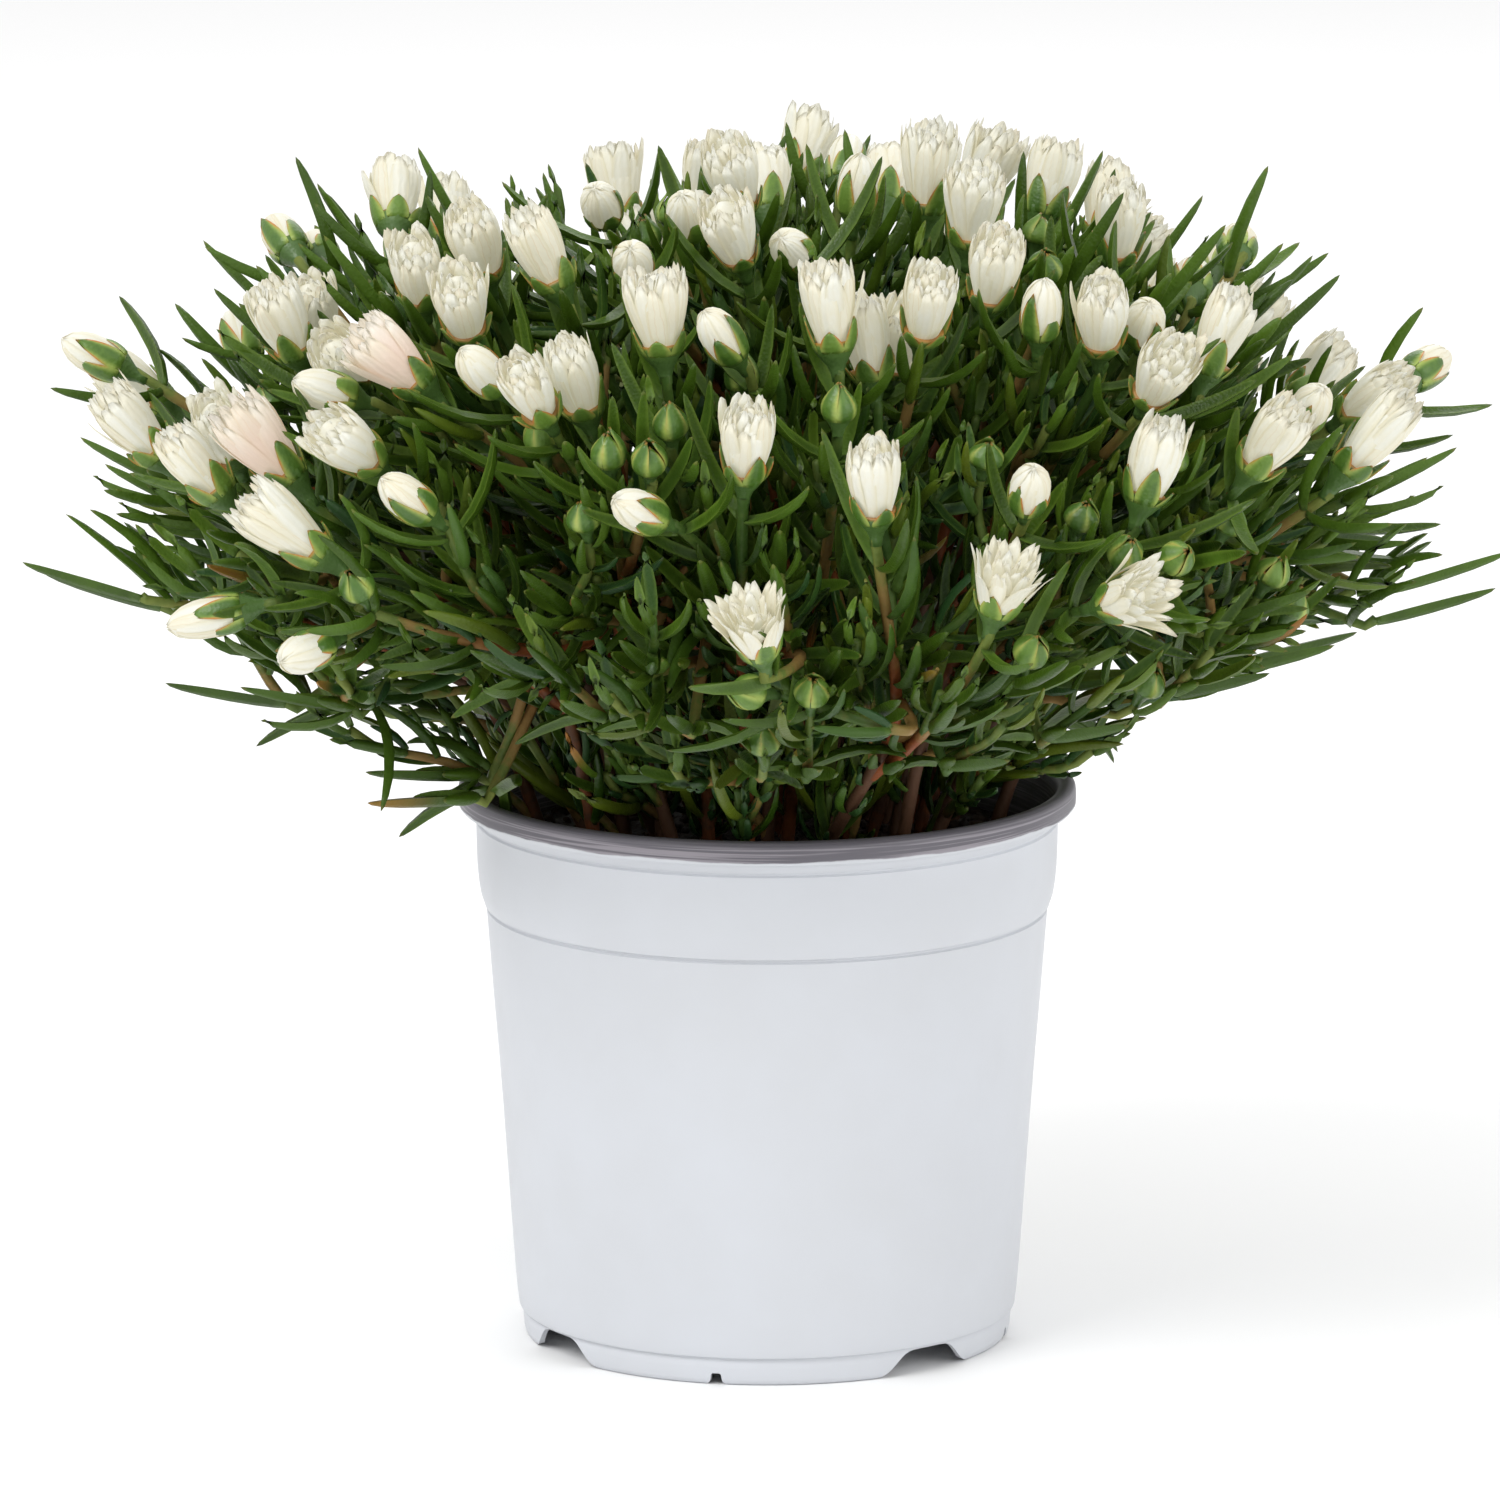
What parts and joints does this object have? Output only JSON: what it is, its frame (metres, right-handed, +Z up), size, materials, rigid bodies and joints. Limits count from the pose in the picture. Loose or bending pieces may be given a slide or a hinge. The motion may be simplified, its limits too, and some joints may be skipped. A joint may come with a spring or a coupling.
{
  "type": "potted trailing ice plant",
  "caption": "Potted trailing succulent with a dome of fleshy leaves and closed white daisy blooms, rooted in soil in a thin nursery pot; stands on its foot as a bedding or balcony plant.",
  "frame": {"origin": "middle of the pot's foot, on the surface that the pot stands on", "axes": "+Z up along the pot's axis, -Y towards the front that the picture shows, +X to the viewer's right"},
  "size_m": [0.3118, 0.268, 0.2612],
  "materials": {
    "pot_plastic": "satin",
    "soil": "matte",
    "foliage": "satin",
    "petals": "satin"
  },
  "bodies": {
    "root": {"pot": "pot_plastic", "soil": "soil", "spray_1": "foliage", "spray_2": "foliage", "spray_3": "foliage", "spray_4": "foliage", "spray_5": "foliage", "spray_6": "foliage", "spray_7": "foliage", "spray_8": "foliage", "spray_9": "foliage", "spray_10": "foliage", "spray_11": "foliage", "spray_12": "foliage", "spray_13": "foliage", "spray_14": "foliage", "spray_15": "foliage", "spray_16": "foliage", "spray_17": "foliage", "spray_18": "foliage", "spray_19": "foliage", "spray_20": "foliage", "spray_21": "foliage", "spray_22": "foliage", "spray_23": "foliage", "spray_24": "foliage", "spray_25": "foliage", "spray_26": "foliage", "spray_27": "foliage", "spray_28": "foliage", "spray_29": "foliage", "spray_30": "foliage", "spray_31": "foliage", "spray_32": "foliage", "spray_33": "foliage", "spray_34": "foliage", "spray_35": "foliage", "spray_36": "foliage", "spray_37": "foliage", "spray_38": "foliage", "spray_39": "foliage", "spray_40": "foliage", "spray_41": "foliage", "spray_42": "foliage", "spray_43": "foliage", "spray_44": "foliage", "spray_45": "foliage", "spray_46": "foliage", "spray_47": "foliage"}
  },
  "joints": []
}
